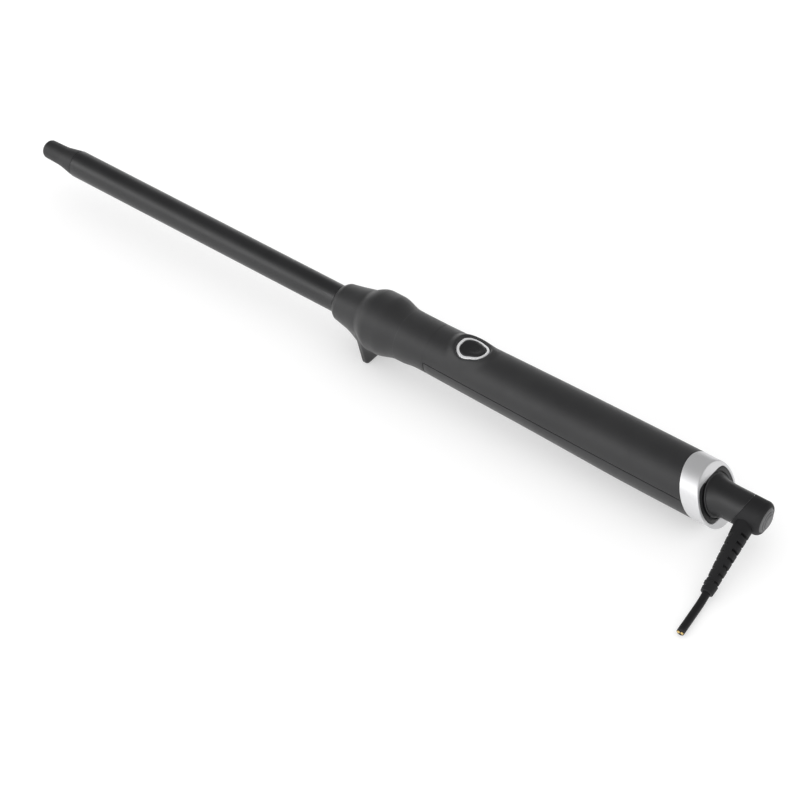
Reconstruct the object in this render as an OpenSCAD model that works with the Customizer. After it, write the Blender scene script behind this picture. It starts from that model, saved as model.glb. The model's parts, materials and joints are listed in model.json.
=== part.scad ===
// Curling wand: slim heated barrel, cool tip, nose with a table stand, two-shell handle with
// a power button, and an angled cord swivel in a bright end ring.
// Millimetres. X runs along the handle towards the cord, Z points up through the button,
// and the origin is on the barrel axis at the front face of the nose.

/* [Barrel] */
// Outside diameter of the heated barrel
barrel_d = 14; // [13.6:0.1:14.4]
// Wall of the barrel tube
barrel_wall = 0.8; // [0.7:0.05:0.9]
// Length of barrel ahead of the nose, without the cool tip
barrel_len = 171.5; // [165:0.5:190]
// Length of the cool tip ahead of the barrel
tip_len = 22.6; // [20:0.2:28]
// Diameter of the finger grip on the cool tip
tip_d = 9.8; // [9.4:0.1:11]

/* [Handle] */
// Handle radius at its waist behind the nose
handle_r_front = 12.95; // [12.9:0.05:13.1]
// Handle radius at the end ring
handle_r_rear = 14.5; // [14.4:0.05:14.6]
// Height of the seam between the two handle shells above the axis
seam_z = 1.5; // [1.2:0.1:1.8]
// Width of the seam line
seam_gap = 0.25; // [0.1:0.05:0.4]

/* [Stand] */
// Depth of the stand's flat foot below the axis
foot_drop = 20.7; // [19:0.1:22]
// Half the width of the stand's flat foot
foot_half = 10.9; // [10:0.1:11.4]

/* [Button] */
// Position of the power button along the handle
button_x = 78.7; // [76:0.1:81]
// Travel of the power button
button_travel = 0.8; // [0.4:0.1:0.8]

/* [Cord swivel] */
// Slant of the end ring and of the swivel axis
end_slant = 25; // [24:0.5:26]
// Radius of the stub that carries the cord
stub_r = 8.2; // [8.1:0.05:8.3]
// Angle of the cord below the horizontal at rest
cord_drop = 17.5; // [15:0.5:18]
// Length of the strain relief from the stub axis
relief_len = 44; // [40:0.5:48]
// Diameter of the cable sheath
cable_d = 3.8; // [3.4:0.1:4]

/* [Hidden] */
$fn = 64;
eps = 0.05;
barrel_r = barrel_d / 2;
root_r = barrel_r - 0.25;
root_front = -0.5;
bore_r = barrel_r - barrel_wall;
tip_r = tip_d / 2;
tip_end_x = -barrel_len - tip_len;

// heater stack, centred on the barrel axis
spreader_r = bore_r - 0.08;
plate_t = 2.2;
plate_w = 7;
plate_l = 30;
plate_pitch = 33;
plate_count = 4;
strip_t = 0.4;
strip_z = plate_t / 2 + 0.02;
film_in = strip_z + strip_t + 0.04;
film_out = film_in + 0.24;
spreader_z = film_out + eps;
heater_front = -barrel_len + 18;
heater_rear = -12;
heater_mid = (heater_front + heater_rear) / 2;

// nose: rounded front, cone, bulge and neck, with the stand's blade and gusset below
nose_end = 41;
nose_front_r = 7.6;
nose_edge_len = 3.4;
nose_edge_r = 9.7;
nose_slope = 0.19;
bulge_front = 17;
bulge_top = 24.5;
bulge_r = 15.4;
bulge_rear = 29.8;
neck_r = handle_r_front + 0.1;
gusset_front = 3;
gusset_rear = 14;
gusset_share = 0.5;
blade_front = 15.4;
foot_front = 17.5;
foot_rear = 19.3;
blade_fade = 4.4;
blade_end = 34;
lean_max = 0.22;
NOSE_STATIONS = [
    for (x = [0:0.85:3]) x,
    for (x = [3.4:2:14]) x,
    for (x = [foot_front - 1.8:0.6:bulge_top]) x,
    for (x = [26:2:40]) x,
    nose_end
];
NOSE_STEPS = 72;
bush_r = 8.3;
bush_front = 2;
bush_rear = 22;
spigot_r = 10.7;
nose_wall = 1.5;
spigot_end = 50;

// handle shells
waist_x = 58;
flare_end = 208;
skin_end = 216;
lower_front = 59;
neck_bore_r = spigot_r + eps;
shell_wall = 2.1;
rear_bore_x = 199;
rear_bore_r = 11.2;
end_x = 212.6;
ring_depth = 8.6;
ring_bore_r = 13;
lip_t = 2.6;
opening_half = 10.4;
collar_r = ring_bore_r - eps;
collar_w = lip_t + 1.85;

// underside of the handle, a little flatter than round between the neck and the ring
under_rise = 1.1;
under_share = 0.64;
under_depth = 0.75;
under_flush = -0.5;
under_full = 53;
under_back = 105;
under_end = 212;

// shell screws
SCREW_X = [106, 148, 186];
screw_r = 1.25;
screw_fit = 0.05;
screw_hole_r = 1.55;
screw_head_r = 2.6;
screw_head_h = 1.6;
screw_head_hole_r = 2.9;
screw_seat_z = -8;
screw_tip_z = 7.5;
post_r = 4;
shell_far = 21;

// control board
board_x0 = 54;
board_x1 = 98;
board_w = 17;
board_z = 2;
board_t = 1.6;
board_top = board_z + board_t;
BOARD_SCREW_X = [58.5, 94.5];
board_screw_r = 0.8;
board_post_r = 2.5;

// button, its bezel and the raised pad round them
button_clear = 0.2;
bezel_w = 1.4;
bezel_t = 1.6;
bezel_gap = 0.3;
egg_long = 3.5;
egg_wide = 1.3;
egg_arc_r = 6;
EGG_STEPS = 48;
above_handle = 20;

// section of the raised pad: distance out from the bezel and height over the handle
PAD = [
    [0.2, -1.2], [0.2, 0.05], [0.5, 0.6], [0.85, 0.88], [1.3, 0.95], [1.8, 0.82], [2.4, 0.45],
    [3, 0.12], [3.7, -0.3], [3.7, -1.2]
];
button_sink = 0.35;
button_base = 10.4;
dimple_r = 14;
dimple_depth = 0.7;
switch_h = 3.2;
plunger_len = 2.2;
stem_base = board_top + switch_h + plunger_len + 0.02;

// leads
lead_r = 0.8;
lead_y = 2.7;
lead_z = 1;
supply_y = 5.3;
fuse_x0 = 27;
fuse_x1 = 38;

// swivel, measured along its own slanted axis
hub_r = 4;
hub_fit = 0.05;
rim_r = 10.2;
rim_top = 0.9;
rim_base = -0.3;
pocket_r = 10.9;
pocket_w = -0.9;
bearing_tube_r = 5.6;
bearing_end = -8.4;
clip_front = bearing_end - 0.1;
clip_rear = clip_front - 0.6;
groove_r = 3.3;
tail_r = 3;
tail_end = -13.2;
slip_r = 3.9;
SLIP_W = [-11.2, -12.7];
wire_r = 1.7;
flare_top = 3.7;
stub_end = 235.5;
hollow_r = 6;
hollow_x = 222;
boot_x = 225.8;
boot_lean = 22;
boot_t = 1;
boot_end = 238;
cap_r = 6.3;
cap_end = 239.5;

// cord
relief_x = 230.2;
relief_rake = 5.5;
relief_neck_r = 4.3;
relief_r0 = 4.7;
relief_r1 = 2.9;
relief_collar_r = 3.4;
relief_collar_len = 5;
relief_start = 5.6;
slot_count = 7;
slot_pitch = 4.3;
slot_w = 1.3;
slot_first = 13;
CAP_GROOVES = [4.6, 3.4];
cable_r = cable_d / 2;
cable_start = 3.6;
cable_bend = cord_drop - 1;
cable_bend_r = 30;
cable_tail = 16;
cable_lap = 0.6;
cable_core_r = cable_r - 0.1;
cable_tail_r = cable_r - 0.04;
core_r = 0.7;
core_y = 0.85;
core_in = 3.9;
core_out = 0.3;

// colours
black = [0.10, 0.10, 0.105];
soft_black = [0.13, 0.13, 0.135];
bright = [0.86, 0.86, 0.87];
steel = [0.62, 0.63, 0.65];
brass_tone = [0.80, 0.62, 0.28];
board_green = [0.05, 0.28, 0.16];
ceramic_tone = [0.90, 0.89, 0.85];

// ---- helpers ----

// cylinder along X from x0 to x1
module xcyl(x0, x1, r)
    translate([x0, 0, 0]) rotate([0, 90, 0]) cylinder(h = x1 - x0, r = r);

// cone along X from radius r0 at x0 to radius r1 at x1
module xcone(x0, x1, r0, r1)
    translate([x0, 0, 0]) rotate([0, 90, 0]) cylinder(h = x1 - x0, r1 = r0, r2 = r1);

// straight tube along X
module xtube(x0, x1, r_out, r_in) difference() {
    xcyl(x0, x1, r_out);
    xcyl(x0 - 1, x1 + 1, r_in);
}

// body of revolution about X from [x, r] points
module xspin(points)
    rotate([0, 90, 0]) rotate_extrude() polygon([for (p = points) [p[1], p[0]]]);

// frame of the swivel: Z is the swivel axis, zero at the ring's end face, X runs down the face
module end_frame() translate([end_x, 0, 0]) rotate([0, 90 - end_slant, 0]) children();

// slab of the swivel frame between two heights
module end_slab(w0, w1) end_frame() translate([-120, -40, w0]) cube([240, 80, w1 - w0]);

// everything behind the boot's slanted front edge, moved back by gap
module behind_boot_edge(gap)
    translate([boot_x + gap, 0, 0]) rotate([0, boot_lean, 0])
        translate([0, -40, -40]) cube([40, 80, 80]);

// frame of the cord: Z runs out along the strain relief, Y is its upper side
module cord_frame()
    translate([relief_x, 0, 0]) rotate([90 + cord_drop, 0, 0]) rotate([0, relief_rake, 0])
        children();

// point i of the bezel's plan outline, three equal arcs that make an egg wide towards the barrel
function egg_point(grow, i) =
    let (
        a = (i + 0.5) * 360 / EGG_STEPS,
        centre = cos(a) * egg_long > abs(sin(a)) * egg_wide
            ? [egg_long / 2, 0] : [-egg_long / 2, sign(sin(a)) * egg_wide]
    )
    centre + (egg_arc_r + grow) * [cos(a), sin(a)];

// plan outline of the bezel, grown outwards
module egg(grow) polygon([for (i = [0:EGG_STEPS - 1]) egg_point(grow, i)]);

// vertical prism of the button outline
module egg_prism(grow, z0, z1)
    translate([button_x, 0, z0]) linear_extrude(height = z1 - z0) egg(grow);

// value between a and b
function mix(a, b, t) = a + (b - a) * min(1, max(0, t));

// smooth step from 0 to 1
function ease(t) = let (u = min(1, max(0, t))) u * u * (3 - 2 * u);

// handle radius along its length, a slim waist that swells towards the ring
function handle_r(x) =
    handle_r_rear - (handle_r_rear - handle_r_front)
        * pow((flare_end - min(flare_end, max(x, waist_x))) / (flare_end - waist_x), 2);

// how far the handle's underside lies inside the round section, low on the side
function under_inset(x) = x < under_back
    ? mix(under_flush, under_depth, ease((x - nose_end) / (under_full - nose_end)))
    : mix(under_depth, under_flush, (x - under_back) / (under_end - under_back));

// radius of the nose along its length
function nose_r(x) =
    let (cone_r = nose_edge_r + nose_slope * (x - nose_edge_len))
    x < nose_edge_len ? mix(nose_front_r, nose_edge_r, sin(90 * x / nose_edge_len))
        : x < bulge_top
            ? mix(cone_r, bulge_r, ease((x - bulge_front) / (bulge_top - bulge_front)))
            : mix(bulge_r, neck_r, ease((x - bulge_rear) / (nose_end - bulge_rear)));

// share of the stand in the nose's section: gusset, blade, flat foot, then a long fade
function stand_share(x) =
    x < foot_front
        ? gusset_share * ease((x - gusset_front) / (gusset_rear - gusset_front))
            + (1 - gusset_share) * ease((x - blade_front) / (foot_front - 0.01 - blade_front))
        : x < foot_rear + 0.01 ? 1
            : ease((blade_end - x) / (blade_end - 26)) / (1 + pow((x - foot_rear) / blade_fade, 2));

// forward lean of the nose's section, which swings the foot back under the bulge
function stand_lean(x) =
    lean_max * (ease((x - 7.5) / 9) - ease((x - foot_rear) / 10));

// radius of the outline round a circle of radius r and a flat foot, in direction a
function foot_reach(r, half, drop, a) =
    let (
        corner = atan2(-drop, half),
        dist = norm([half, drop]),
        tangent = corner + acos(min(1, r / dist)),
        m = abs(a) > 90 ? -180 - a : a
    )
    m >= tangent ? r : (m >= corner ? r / cos(m - tangent) : drop / sin(-m));

// height that a station's lean acts on, which levels off above the axis
function lean_height(z) = z > 0 ? z / (1 + z / 12) : z;

// ring of loft points of the nose at station x
function nose_ring(x) =
    let (
        round_r = nose_r(x),
        share = stand_share(x),
        lean = stand_lean(x)
    )
    [
        for (i = [0:NOSE_STEPS - 1])
            let (
                turn = i * 360 / NOSE_STEPS,
                a = turn > 180 ? turn - 360 : turn,
                r = a >= 0 || share < 0.001 ? round_r
                    : foot_reach(round_r, foot_half * share, mix(round_r, foot_drop, share), a),
                z = r * sin(a)
            )
            [x - lean * lean_height(z), r * cos(a), z]
    ];

// solid skin of the nose and its stand
module nose_skin() {
    rings = [for (x = NOSE_STATIONS) nose_ring(x)];
    last = len(NOSE_STATIONS) - 1;
    points = [for (r = rings) each r];
    sides = [
        for (j = [0:last - 1], i = [0:NOSE_STEPS - 1])
            let (
                a = j * NOSE_STEPS + i,
                b = j * NOSE_STEPS + (i + 1) % NOSE_STEPS
            )
            each [[a, a + NOSE_STEPS, b], [b, a + NOSE_STEPS, b + NOSE_STEPS]]
    ];
    front = [[for (i = [0:NOSE_STEPS - 1]) i]];
    back = [[for (i = [NOSE_STEPS - 1:-1:0]) last * NOSE_STEPS + i]];
    polyhedron(points = points, faces = concat(sides, front, back), convexity = 6);
}

// outside of the handle, ending on the ring's slanted front face
module handle_skin() {
    intersection() {
        xspin(concat(
            [[nose_end + 0.1, 0], [nose_end + 0.1, neck_r], [nose_end + 3, handle_r_front + 0.03],
                [nose_end + 6, handle_r_front]],
            [for (x = [waist_x:15:flare_end]) [x, handle_r(x)]],
            [[skin_end, handle_r_rear], [skin_end, 0]]
        ));
        translate([0, 0, under_rise]) xspin(concat(
            [[nose_end, 0]],
            [
                for (x = [nose_end, 44, 47, 50, under_full, under_back, under_end, skin_end])
                    [x, handle_r(x) + under_share * under_rise - under_inset(x)]
            ],
            [[skin_end, 0]]
        ));
        end_slab(-190, -ring_depth);
    }
    intersection() {
        xcyl(190, 214, collar_r);
        end_slab(-30, -collar_w);
    }
}

// hollow inside the handle
module handle_hollow() {
    xcyl(nose_end, spigot_end + 0.2, neck_bore_r);
    xcone(spigot_end, rear_bore_x, handle_r(spigot_end) - shell_wall,
        handle_r(rear_bore_x) - shell_wall);
    xcyl(rear_bore_x - 0.1, 222, rear_bore_r);
}

// block below the seam, behind x0 and up to z1
module below_seam(x0, z1) translate([x0, -40, -40]) cube([260, 80, 40 + z1]);

// ---- barrel ----

module barrel_tube() color(black) difference() {
    xspin([
        [-barrel_len, 0], [-barrel_len, barrel_r - 0.25], [-barrel_len + 0.4, barrel_r],
        [root_front, barrel_r], [root_front, root_r], [bush_rear + 2.4, root_r],
        [bush_rear + 2.4, 0]
    ]);
    xcyl(-barrel_len - 1, bush_rear + 4, bore_r);
}

module cool_tip() color(black) difference() {
    x0 = tip_end_x;
    dome = 3.2;
    union() {
        xspin([
            for (a = [0:10:80]) [x0 + dome * (1 - cos(a)), tip_r * sin(a)],
            [x0 + dome, tip_r], [-181, tip_r + 0.25], [-179.6, tip_r + 0.42],
            [-barrel_len - 1.2, barrel_r - 0.3], [-barrel_len - 0.12, barrel_r - 0.12],
            [-barrel_len - 0.12, 0]
        ]);
        xcyl(-barrel_len - 0.5, -barrel_len + 8, bore_r - 0.04);
    }
    xcyl(x0 + 7, -barrel_len + 9, 3.4);
}

module spreader(side) color(steel) difference() {
    intersection() {
        xcyl(heater_front, heater_rear, spreader_r);
        translate([heater_front - 1, -8, side > 0 ? spreader_z : -8 - spreader_z])
            cube([heater_rear - heater_front + 2, 16, 8]);
    }
    if (side > 0) translate([0, 0, 4]) xcyl(-66, heater_rear + 1, 1.25);
}

module heat_spreader_upper() spreader(1);

module heat_spreader_lower() spreader(-1);

module heater_plates() color(ceramic_tone)
    for (i = [0:plate_count - 1])
        translate([heater_mid + (i - (plate_count - 1) / 2) * plate_pitch, 0, 0])
            cube([plate_l, plate_w, plate_t], center = true);

module heater_strips() color(steel)
    for (z = [strip_z, -strip_z - strip_t]) translate([heater_front + 2, -plate_w / 2, z])
        cube([heater_rear - heater_front - 2, plate_w, strip_t]);

module heater_film() color([0.75, 0.45, 0.10]) difference() {
    w = plate_w + 1.1;
    translate([heater_front + 0.5, -w / 2, -film_out])
        cube([heater_rear - heater_front - 1, w, 2 * film_out]);
    translate([heater_front - 1, -w / 2 + 0.24, -film_in])
        cube([heater_rear - heater_front + 2, w - 0.48, 2 * film_in]);
}

module heater_end_disc() color(ceramic_tone)
    xcyl(heater_front - 3, heater_front - 0.1, spreader_r);

module temp_sensor() color([0.55, 0.30, 0.12]) translate([0, 0, 4]) {
    xcyl(-64, -58, 1.1);
    for (s = [-1, 1]) translate([0, 0.5 * s, 0]) xcyl(-58.2, 6, 0.32);
}

// ---- nose ----

module root_bush() color(ceramic_tone)
    xtube(bush_front + eps, bush_rear, bush_r - eps, root_r + eps);

module barrel_clip() color(steel) difference() {
    xtube(bush_rear + 0.1, bush_rear + 1.3, spigot_r - nose_wall - 0.1, root_r + eps);
    translate([bush_rear, -1.5, -12]) cube([2, 3, 6]);
}

module nose_housing() color(black) difference() {
    union() {
        nose_skin();
        xcyl(nose_end - 1, spigot_end, spigot_r);
    }
    xcyl(-1, bush_front + 1, barrel_r + 0.1);
    xcyl(bush_front, bush_rear + 0.1, bush_r);
    xcyl(bush_rear, spigot_end + 1, spigot_r - nose_wall);
}

// ---- handle ----

// saddle-shaped slice of the button outline, between two radii of the handle
module egg_saddle(grow, r_in, r_out) intersection() {
    egg_prism(grow, 0, above_handle);
    xtube(button_x - 20, button_x + 20, r_out, r_in);
}

// low raised pad that the bezel and button are sunk into
module button_pad() {
    n = EGG_STEPS;
    rows = len(PAD);
    points = [
        for (p = PAD, i = [0:n - 1])
            let (q = egg_point(p[0], i))
            [button_x + q[0], q[1], sqrt(pow(handle_r(button_x) + p[1], 2) - pow(q[1], 2))]
    ];
    faces = [
        for (j = [0:rows - 1], i = [0:n - 1])
            let (
                a = j * n + i,
                b = j * n + (i + 1) % n,
                c = ((j + 1) % rows) * n
            )
            each [[a, b, c + i], [b, c + (i + 1) % n, c + i]]
    ];
    polyhedron(points = points, faces = faces, convexity = 8);
}

// room for the bezel and button
module button_well() {
    egg_saddle(bezel_gap, handle_r(button_x) - bezel_t - 0.1, above_handle);
    egg_prism(button_clear - bezel_w, 8, above_handle);
}

module upper_screw_post() difference() {
    translate([0, 0, seam_z + seam_gap / 2]) cylinder(h = 18, r = post_r);
    cylinder(h = screw_tip_z + 0.5, r = screw_r + screw_fit);
}

module lower_screw_post() difference() {
    translate([0, 0, -shell_far]) cylinder(h = shell_far + seam_z - seam_gap / 2, r = post_r);
    translate([0, 0, -shell_far - 1]) cylinder(h = 2 * shell_far, r = screw_hole_r);
    screw_head_hole();
}

module screw_head_hole()
    translate([0, 0, -shell_far - 1])
        cylinder(h = shell_far + 1 + screw_seat_z, r = screw_head_hole_r);

module handle_body() color(soft_black) difference() {
    union() {
        difference() {
            union() {
                handle_skin();
                button_pad();
            }
            handle_hollow();
        }
        intersection() {
            handle_skin();
            union() {
                for (x = SCREW_X) translate([x, 0, 0]) upper_screw_post();
                for (x = BOARD_SCREW_X) translate([x, 0, board_top + eps])
                    cylinder(h = 12, r = board_post_r);
            }
        }
    }
    below_seam(lower_front - seam_gap, seam_z + seam_gap / 2);
    for (x = BOARD_SCREW_X) translate([x, 0, board_top])
        cylinder(h = 5, r = board_screw_r + screw_fit);
    button_well();
}

module handle_base() color(soft_black) {
    difference() {
        intersection() {
            handle_skin();
            below_seam(lower_front, seam_z - seam_gap / 2);
        }
        handle_hollow();
        for (x = SCREW_X) translate([x, 0, 0]) screw_head_hole();
    }
    intersection() {
        handle_skin();
        for (x = SCREW_X) translate([x, 0, 0]) lower_screw_post();
    }
}

module shell_screws() color(steel) for (x = SCREW_X) translate([x, 0, 0]) difference() {
    union() {
        translate([0, 0, screw_seat_z - screw_head_h - eps])
            cylinder(h = screw_head_h, r = screw_head_r);
        translate([0, 0, screw_seat_z - 0.2]) cylinder(h = screw_tip_z - screw_seat_z, r = screw_r);
    }
    translate([0, 0, screw_seat_z - screw_head_h - 1]) for (t = [0, 90]) rotate([0, 0, t])
        translate([-1.6, -0.3, 0]) cube([3.2, 0.6, 1.9]);
}

// ---- button ----

module button_bezel() color(bright) difference() {
    egg_saddle(0, handle_r(button_x) - bezel_t, handle_r(button_x));
    egg_prism(-bezel_w, -1, above_handle + 1);
}

module power_button() color(black) {
    r = handle_r(button_x) - button_sink;
    difference() {
        intersection() {
            egg_prism(-bezel_w - button_clear, button_base, above_handle);
            xcyl(button_x - 20, button_x + 20, r);
        }
        translate([button_x, 0, r - dimple_depth + dimple_r]) sphere(r = dimple_r, $fn = 96);
    }
    translate([button_x, 0, stem_base]) cylinder(h = button_base - stem_base + 0.5, r = 1.6);
}

module switch_plunger() color(bright)
    translate([button_x, 0, board_top + switch_h - 0.9]) cylinder(h = plunger_len + 0.9, r = 1.3);

module tact_switch() color(black) difference() {
    translate([button_x - 3, -3, board_top + 0.02]) cube([6, 6, switch_h]);
    translate([button_x, 0, board_top + 1]) cylinder(h = switch_h, r = 1.35);
}

module status_lamp() color([0.9, 0.9, 0.95])
    translate([button_x + 5.2, 0, board_top + 0.02]) cylinder(h = 2.4, r = 1);

// ---- electronics ----

module control_board() color(board_green) difference() {
    translate([board_x0, -board_w / 2, board_z]) cube([board_x1 - board_x0, board_w, board_t]);
    for (x = BOARD_SCREW_X) translate([x, 0, 0]) cylinder(h = 8, r = board_screw_r + 0.2);
}

module board_screws() color(steel) for (x = BOARD_SCREW_X) translate([x, 0, 0]) {
    translate([0, 0, board_z - 1.25]) cylinder(h = 1.2, r = 1.7);
    translate([0, 0, board_z - 0.3]) cylinder(h = 6, r = board_screw_r);
}

module power_triac() color(black) translate([66, -5, board_z - 4.7]) cube([10, 4.5, 4.65]);

module film_capacitor() color([0.75, 0.62, 0.15])
    translate([79, -6, board_z - 6.1]) cube([10, 12, 6.05]);

module board_chips() color(black) {
    translate([64, -3, board_top + 0.02]) cube([5, 6, 1.2]);
    translate([88, 2, board_top + 0.02]) cube([3, 4, 1]);
    translate([88, -6, board_top + 0.02]) cube([3, 3, 1]);
}

module heater_leads() color([0.8, 0.15, 0.1]) translate([0, 0, lead_z]) {
    translate([0, lead_y, 0]) xcyl(heater_rear + 1, 57, lead_r);
    translate([0, -lead_y, 0]) {
        xcyl(heater_rear + 1, fuse_x0 - eps, lead_r);
        xcyl(fuse_x1 + eps, 57, lead_r);
    }
}

module thermal_fuse() color(steel) translate([0, -lead_y, lead_z]) xcyl(fuse_x0, fuse_x1, 1.7);

module supply_leads() color([0.15, 0.2, 0.5]) for (s = [-1, 1])
    translate([92, s * supply_y, lead_z]) rotate([0, 90 + 2.7, 0]) cylinder(h = 105, r = lead_r);

// ---- end ring and swivel seat ----

module end_ring() color(bright) difference() {
    intersection() {
        xcyl(190, 235, handle_r_rear);
        end_slab(-ring_depth + 0.1, 0);
    }
    intersection() {
        xcyl(180, 240, ring_bore_r);
        union() {
            end_slab(-30, -lip_t);
            end_frame() translate([-opening_half, -40, -20]) cube([2 * opening_half, 80, 40]);
        }
    }
}

module swivel_bearing() color(black) difference() {
    union() {
        intersection() {
            xcyl(180, 240, collar_r);
            union() {
                end_slab(-collar_w + eps, -lip_t - eps);
                end_frame() translate([-opening_half + eps, -40, -lip_t - 1])
                    cube([2 * (opening_half - eps), 80, lip_t + 0.9]);
            }
        }
        end_frame() translate([0, 0, bearing_end]) cylinder(h = 5, r = bearing_tube_r);
    }
    end_frame() translate([0, 0, pocket_w]) cylinder(h = 5, r = pocket_r);
    end_frame() translate([0, 0, -20]) cylinder(h = 30, r = hub_r + hub_fit);
}

module brush_carrier() color(soft_black) end_frame() difference() {
    union() {
        translate([0, 0, -9.3]) cylinder(h = 3.6, r = 6.6);
        translate([0, 0, tail_end]) cylinder(h = 4, r = 5.8);
    }
    translate([0, 0, -9.25]) cylinder(h = 6, r = bearing_tube_r + eps);
    translate([0, 0, tail_end - 1]) cylinder(h = 8, r = 4.6);
}

module contact_brushes() color(brass_tone) end_frame() {
    translate([-1, slip_r + 0.07, SLIP_W[0] + 0.1]) cube([2, 0.5, 0.8]);
    translate([-1, -slip_r - 0.57, SLIP_W[1] + 0.1]) cube([2, 0.5, 0.8]);
}

// ---- moving swivel ----

module swivel_body() color(soft_black) difference() {
    union() {
        end_frame() {
            translate([0, 0, rim_base]) cylinder(h = rim_top - rim_base, r = rim_r);
            translate([0, 0, rim_top - 0.01])
                cylinder(h = flare_top - rim_top, r1 = rim_r - 0.15, r2 = stub_r - 0.3);
            translate([0, 0, clip_front - 1]) cylinder(h = 1 + rim_base - clip_front + 0.1, r = hub_r);
            translate([0, 0, clip_rear - 1]) cylinder(h = 2, r = groove_r);
            translate([0, 0, tail_end]) cylinder(h = 6, r = tail_r);
        }
        intersection() {
            xcyl(190, stub_end, stub_r);
            end_slab(0.5, 40);
        }
    }
    end_frame() translate([0, 0, clip_rear]) difference() {
        cylinder(h = clip_front - clip_rear, r = hub_r + 2);
        cylinder(h = clip_front - clip_rear, r = groove_r);
    }
    end_frame() translate([0, 0, clip_rear - 2]) difference() {
        cylinder(h = 2, r = hub_r + 2);
        cylinder(h = 2, r = groove_r);
    }
    end_frame() translate([0, 0, tail_end - 1]) cylinder(h = 28, r = wire_r);
    xcyl(hollow_x, stub_end + 1, hollow_r);
    cord_frame() cylinder(h = 14, r = relief_neck_r + eps);
    intersection() {
        behind_boot_edge(-eps);
        xtube(hollow_x - 4, stub_end + 1, stub_r + 1, stub_r - boot_t - eps);
    }
}

module swivel_clip() color(steel) end_frame() difference() {
    translate([0, 0, clip_rear + 0.03]) cylinder(h = clip_front - clip_rear - 0.06, r = 5.3);
    translate([0, 0, clip_rear - 1]) cylinder(h = 3, r = groove_r + eps);
    translate([0, -1.4, clip_rear - 1]) cube([8, 2.8, 3]);
}

module slip_rings() color(brass_tone) end_frame() for (w = SLIP_W)
    translate([0, 0, w]) difference() {
        cylinder(h = 1, r = slip_r);
        translate([0, 0, -1]) cylinder(h = 3, r = tail_r + eps);
    }

module swivel_cap() color([0.30, 0.30, 0.31]) difference() {
    xspin([
        [stub_end - 0.25, 0], [stub_end - 0.25, hollow_r - eps], [stub_end + 0.1, hollow_r - eps],
        [stub_end + 0.1, cap_r - eps], [boot_end - 0.4, cap_r - eps], [boot_end + 0.3, cap_r - 0.6],
        [cap_end - 0.3, cap_r - 2], [cap_end, cap_r - 3.6], [cap_end, 0]
    ]);
    for (r = CAP_GROOVES) xtube(boot_end + 0.3, cap_end + 1, r + 0.35, r);
}

// thin rubber boot round the stub, with a rounded rear edge
module stub_boot() difference() {
    intersection() {
        xspin([
            [hollow_x - 4, 0], [hollow_x - 4, stub_r], [boot_end - 2.6, stub_r],
            [boot_end - 1.5, stub_r - 0.25], [boot_end - 0.6, stub_r - 0.85], [boot_end, cap_r + 0.3],
            [boot_end, 0]
        ]);
        behind_boot_edge(0);
    }
    xcyl(hollow_x - 6, stub_end, stub_r - boot_t);
    xcyl(stub_end - 0.1, boot_end + 1, cap_r);
}

// tapered sleeve with a collar at its end, let into the boot
module relief_sleeve() {
    cord_frame() translate([0, 0, relief_start]) cylinder(h = 5, r = relief_neck_r);
    difference() {
        cord_frame() {
            translate([0, 0, relief_start + 1])
                cylinder(h = relief_len - relief_start - 1 - relief_collar_len,
                    r1 = relief_r0, r2 = relief_r1 + 0.15);
            translate([0, 0, relief_len - relief_collar_len])
                cylinder(h = relief_collar_len, r1 = relief_collar_r, r2 = relief_r1);
        }
        xcyl(200, 250, stub_r - 0.5);
    }
}

module strain_relief() color(black) difference() {
    union() {
        stub_boot();
        relief_sleeve();
    }
    xcyl(200, stub_end, hollow_r - 1);
    cord_frame() {
        translate([0, 0, 1]) cylinder(h = relief_len, r = cable_core_r + eps);
        for (i = [0:slot_count - 1], s = [-1, 1]) {
            z = slot_first + (i + (s > 0 ? 0 : 0.5)) * slot_pitch;
            translate([s * 4.2, 0, z]) cube([3.4, 12, slot_w], center = true);
        }
    }
}

// lays its child along the cable beyond the strain relief
module cable_tail_frame()
    cord_frame() translate([0, cable_bend_r * (1 - cos(cable_bend)),
        relief_len + cable_bend_r * sin(cable_bend)]) rotate([-cable_bend, 0, 0]) children();

module cable_sheath() color(black) {
    cord_frame() translate([0, 0, cable_start])
        cylinder(h = relief_len - cable_start + cable_lap, r = cable_core_r);
    cord_frame() translate([0, cable_bend_r, relief_len]) rotate([90, 0, -90])
        rotate_extrude(angle = cable_bend) translate([cable_bend_r, 0]) circle(r = cable_r);
    cable_tail_frame() difference() {
        translate([0, 0, -cable_lap]) cylinder(h = cable_tail + cable_lap, r = cable_tail_r);
        for (s = [-1, 1]) translate([s * core_y, 0, cable_tail - core_in - 0.1])
            cylinder(h = core_in + 2, r = core_r + eps);
    }
}

module cable_cores() color(brass_tone) cable_tail_frame()
    for (s = [-1, 1]) translate([s * core_y, 0, cable_tail - core_in])
        cylinder(h = core_in + core_out, r = core_r);

// ---- assembly ----

barrel_tube();
cool_tip();
heat_spreader_upper();
heat_spreader_lower();
heater_plates();
heater_strips();
heater_film();
heater_end_disc();
temp_sensor();
root_bush();
barrel_clip();
nose_housing();
handle_body();
handle_base();
shell_screws();
button_bezel();
power_button();
switch_plunger();
tact_switch();
status_lamp();
control_board();
board_screws();
power_triac();
film_capacitor();
board_chips();
heater_leads();
thermal_fuse();
supply_leads();
end_ring();
swivel_bearing();
brush_carrier();
contact_brushes();
swivel_body();
swivel_clip();
slip_rings();
swivel_cap();
strain_relief();
cable_sheath();
cable_cores();
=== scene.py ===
import json
import math

import bmesh
import bpy
from mathutils import Matrix, Vector


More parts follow.
